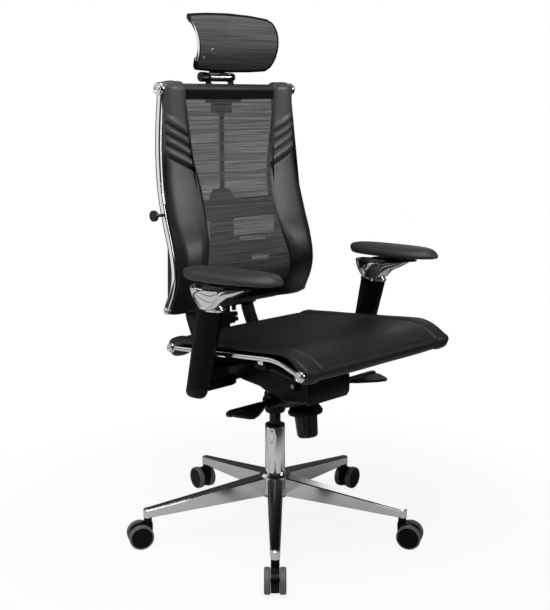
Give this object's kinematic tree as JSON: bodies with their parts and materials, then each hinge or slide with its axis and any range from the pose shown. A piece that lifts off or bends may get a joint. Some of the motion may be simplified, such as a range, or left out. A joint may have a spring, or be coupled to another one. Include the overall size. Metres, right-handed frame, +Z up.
{
  "type": "swivel office chair",
  "caption": "Swivel office chair with star base on twin-wheel castors, gas lift, tilt mechanism, adjustable padded arms, mesh and leather back and tilting mesh headrest",
  "frame": {"origin": "on the floor under the middle of the bounding box", "axes": "+Z up, -Y is the front of the chair, +X is its left side as the sitter has it"},
  "size_m": [0.7204, 0.719, 1.269],
  "materials": {
    "base_metal": "polished",
    "castor_plastic": "gloss",
    "castor_tread": "matte",
    "chrome_tube": "polished",
    "collar_plastic": "satin",
    "cylinder_steel": "satin",
    "housing_casting": "matte",
    "shaft_steel": "satin",
    "knob_plastic": "matte",
    "lever_plastic": "satin",
    "frame_chrome": "polished",
    "frame_steel": "matte",
    "seat_leather": "satin",
    "panel_leather": "satin",
    "back_mesh": "matte",
    "arm_casting": "satin",
    "post_plastic": "satin",
    "arm_chrome": "polished",
    "pad_leather": "satin",
    "spine_plastic": "satin",
    "hardware_plastic": "satin",
    "head_mesh": "matte"
  },
  "bodies": {
    "base": {"star_base": "base_metal", "column_tube": "chrome_tube", "column_bushing": "collar_plastic"},
    "castor_1": {"castor_1_housing": "castor_plastic"},
    "castor_1_wheel_left": {"castor_1_wheel_left": "castor_tread"},
    "castor_1_wheel_right": {"castor_1_wheel_right": "castor_tread"},
    "castor_2": {"castor_2_housing": "castor_plastic"},
    "castor_2_wheel_left": {"castor_2_wheel_left": "castor_tread"},
    "castor_2_wheel_right": {"castor_2_wheel_right": "castor_tread"},
    "castor_3": {"castor_3_housing": "castor_plastic"},
    "castor_3_wheel_left": {"castor_3_wheel_left": "castor_tread"},
    "castor_3_wheel_right": {"castor_3_wheel_right": "castor_tread"},
    "castor_4": {"castor_4_housing": "castor_plastic"},
    "castor_4_wheel_left": {"castor_4_wheel_left": "castor_tread"},
    "castor_4_wheel_right": {"castor_4_wheel_right": "castor_tread"},
    "castor_5": {"castor_5_housing": "castor_plastic"},
    "castor_5_wheel_left": {"castor_5_wheel_left": "castor_tread"},
    "castor_5_wheel_right": {"castor_5_wheel_right": "castor_tread"},
    "lift": {"gas_cylinder": "cylinder_steel"},
    "mechanism": {"tilt_housing": "housing_casting", "recline_shaft": "shaft_steel", "seat_shaft": "shaft_steel"},
    "tension_knob": {"tension_knob": "knob_plastic"},
    "height_lever": {"height_lever": "lever_plastic"},
    "tilt_lever": {"tilt_lever": "lever_plastic"},
    "seat": {"seat_carrier": "frame_steel", "seat_rail_left": "frame_chrome", "seat_rail_right": "frame_chrome", "seat_front_bar": "frame_steel", "seat_rear_bar": "frame_steel", "seat_sling": "seat_leather", "arm_foot_left": "arm_casting", "arm_foot_right": "arm_casting"},
    "arm_left": {"arm_sleeve_left": "post_plastic", "arm_bracket_left": "arm_chrome"},
    "arm_slide_left": {"arm_slide_left": "post_plastic"},
    "arm_pad_left": {"arm_pad_left": "pad_leather"},
    "arm_right": {"arm_sleeve_right": "post_plastic", "arm_bracket_right": "arm_chrome"},
    "arm_slide_right": {"arm_slide_right": "post_plastic"},
    "arm_pad_right": {"arm_pad_right": "pad_leather"},
    "back": {"back_strut_left": "arm_casting", "back_strut_right": "arm_casting", "spine_plate": "spine_plastic", "lumbar_beam": "spine_plastic", "back_rail_left": "frame_chrome", "back_rail_right": "frame_chrome", "back_top_bar": "frame_steel", "back_bottom_bar": "frame_steel", "side_panel_left": "panel_leather", "side_panel_right": "panel_leather", "back_mesh": "back_mesh", "upper_spine": "spine_plastic"},
    "lumbar_knob": {"lumbar_knob": "hardware_plastic"},
    "headrest_lower_knob": {"headrest_lower_knob": "hardware_plastic"},
    "neck": {"headrest_tube": "chrome_tube", "headrest_link": "frame_steel"},
    "headrest_upper_knob": {"headrest_upper_knob": "hardware_plastic"},
    "headrest": {"headrest_frame": "spine_plastic", "headrest_mesh": "head_mesh"}
  },
  "joints": [
    {"name": "castor_1_swivel", "type": "hinge", "parent": "base", "child": "castor_1", "pos_m": [-0.23745, -0.24607, 0.06], "axis": [0, 0, 1], "continuous": true},
    {"name": "castor_1_wheel_left_roll", "type": "hinge", "parent": "castor_1", "child": "castor_1_wheel_left", "pos_m": [-0.23831, -0.27226, 0.03], "axis": [0.7218, -0.6921, 0], "continuous": true},
    {"name": "castor_1_wheel_right_roll", "type": "hinge", "parent": "castor_1", "child": "castor_1_wheel_right", "pos_m": [-0.26357, -0.24803, 0.03], "axis": [0.7218, -0.6921, 0], "continuous": true},
    {"name": "castor_2_swivel", "type": "hinge", "parent": "base", "child": "castor_2", "pos_m": [0.14108, -0.29792, 0.06], "axis": [0, 0, 1], "continuous": true},
    {"name": "castor_2_wheel_left_roll", "type": "hinge", "parent": "castor_2", "child": "castor_2_wheel_left", "pos_m": [0.16572, -0.30684, 0.03], "axis": [0.8813, 0.4726, 0], "continuous": true},
    {"name": "castor_2_wheel_right_roll", "type": "hinge", "parent": "castor_2", "child": "castor_2_wheel_right", "pos_m": [0.13487, -0.32338, 0.03], "axis": [0.8813, 0.4726, 0], "continuous": true},
    {"name": "castor_3_swivel", "type": "hinge", "parent": "base", "child": "castor_3", "pos_m": [0.30736, 0.04605, 0.06], "axis": [0, 0, 1], "continuous": true},
    {"name": "castor_3_wheel_left_roll", "type": "hinge", "parent": "castor_3", "child": "castor_3_wheel_left", "pos_m": [0.32346, 0.06673, 0.03], "axis": [-0.1771, 0.9842, 0], "continuous": true},
    {"name": "castor_3_wheel_right_roll", "type": "hinge", "parent": "castor_3", "child": "castor_3_wheel_right", "pos_m": [0.32965, 0.03228, 0.03], "axis": [-0.1771, 0.9842, 0], "continuous": true},
    {"name": "castor_4_swivel", "type": "hinge", "parent": "base", "child": "castor_4", "pos_m": [0.03161, 0.31049, 0.06], "axis": [0, 0, 1], "continuous": true},
    {"name": "castor_4_wheel_left_roll", "type": "hinge", "parent": "castor_4", "child": "castor_4_wheel_left", "pos_m": [0.01692, 0.33219, 0.03], "axis": [-0.9907, 0.1357, 0], "continuous": true},
    {"name": "castor_4_wheel_right_roll", "type": "hinge", "parent": "castor_4", "child": "castor_4_wheel_right", "pos_m": [0.05159, 0.32744, 0.03], "axis": [-0.9907, 0.1357, 0], "continuous": true},
    {"name": "castor_5_swivel", "type": "hinge", "parent": "base", "child": "castor_5", "pos_m": [-0.3051, 0.12995, 0.06], "axis": [0, 0, 1], "continuous": true},
    {"name": "castor_5_wheel_left_roll", "type": "hinge", "parent": "castor_5", "child": "castor_5_wheel_left", "pos_m": [-0.33028, 0.12268, 0.03], "axis": [-0.4352, -0.9003, 0], "continuous": true},
    {"name": "castor_5_wheel_right_roll", "type": "hinge", "parent": "castor_5", "child": "castor_5_wheel_right", "pos_m": [-0.31504, 0.15419, 0.03], "axis": [-0.4352, -0.9003, 0], "continuous": true},
    {"name": "gas_lift", "type": "slide", "parent": "base", "child": "lift", "axis": [0, 0, 1], "range_m": [-0.03, 0.07]},
    {"name": "seat_swivel", "type": "hinge", "parent": "lift", "child": "mechanism", "pos_m": [-0.0125, -0.0115, 0.32], "axis": [0, 0, 1], "continuous": true},
    {"name": "tension_knob_turn", "type": "hinge", "parent": "mechanism", "child": "tension_knob", "pos_m": [-0.0125, -0.1175, 0.328], "axis": [0, 0.1392, 0.9903], "range_deg": [0, 1080]},
    {"name": "height_lever_lift", "type": "hinge", "parent": "mechanism", "child": "height_lever", "pos_m": [-0.0705, -0.0635, 0.358], "axis": [0, 1, 0], "range_deg": [0, 8], "stiffness_Nm_per_rad": 2, "springref_deg": -8.59},
    {"name": "tilt_lever_set", "type": "hinge", "parent": "mechanism", "child": "tilt_lever", "pos_m": [0.0455, -0.1595, 0.398], "axis": [0, 1, 0], "range_deg": [-8, 8]},
    {"name": "back_recline", "type": "hinge", "parent": "mechanism", "child": "back", "pos_m": [-0.0125, 0.0185, 0.418], "axis": [-1, 0, 0], "range_deg": [0, 18], "stiffness_Nm_per_rad": 150, "springref_deg": -20.05},
    {"name": "seat_tilt", "type": "hinge", "parent": "mechanism", "child": "seat", "pos_m": [-0.0125, -0.1515, 0.418], "axis": [-1, 0, 0], "range_deg": [0, 6]},
    {"name": "arm_left_height", "type": "slide", "parent": "seat", "child": "arm_left", "axis": [-0.0169, -0.2413, 0.9703], "range_m": [0, 0.07]},
    {"name": "arm_slide_left_depth", "type": "slide", "parent": "arm_left", "child": "arm_slide_left", "axis": [-0.0696, -0.996, 0.0558], "range_m": [-0.025, 0.025]},
    {"name": "arm_pad_left_turn", "type": "hinge", "parent": "arm_slide_left", "child": "arm_pad_left", "pos_m": [0.25306, -0.1602, 0.6764], "axis": [0.0039, 0.0557, 0.9984], "range_deg": [-15, 15]},
    {"name": "arm_right_height", "type": "slide", "parent": "seat", "child": "arm_right", "axis": [0.0169, -0.2413, 0.9703], "range_m": [0, 0.07]},
    {"name": "arm_slide_right_depth", "type": "slide", "parent": "arm_right", "child": "arm_slide_right", "axis": [0.0696, -0.996, 0.0558], "range_m": [-0.025, 0.025]},
    {"name": "arm_pad_right_turn", "type": "hinge", "parent": "arm_slide_right", "child": "arm_pad_right", "pos_m": [-0.27806, -0.1602, 0.6764], "axis": [-0.0039, 0.0557, 0.9984], "range_deg": [-15, 15]},
    {"name": "lumbar_knob_turn", "type": "hinge", "parent": "back", "child": "lumbar_knob", "pos_m": [-0.2444, 0.12935, 0.803], "axis": [1, 0, 0], "range_deg": [-720, 720]},
    {"name": "headrest_lower_knob_turn", "type": "hinge", "parent": "back", "child": "headrest_lower_knob", "pos_m": [-0.05, 0.1895, 1.12], "axis": [1, 0, 0], "range_deg": [-90, 720]},
    {"name": "neck_tilt", "type": "hinge", "parent": "back", "child": "neck", "pos_m": [-0.0125, 0.1895, 1.12], "axis": [-1, 0, 0], "range_deg": [-8, 20]},
    {"name": "headrest_tilt", "type": "hinge", "parent": "neck", "child": "headrest", "pos_m": [-0.0125, 0.2025, 1.157], "axis": [-1, 0, 0], "range_deg": [-15, 20]},
    {"name": "headrest_upper_knob_turn", "type": "hinge", "parent": "neck", "child": "headrest_upper_knob", "pos_m": [-0.05, 0.2025, 1.157], "axis": [1, 0, 0], "range_deg": [-90, 720]}
  ],
  "couplings": [
    {"joint": "seat_tilt", "follows": "back_recline", "ratio": 0.3333}
  ]
}
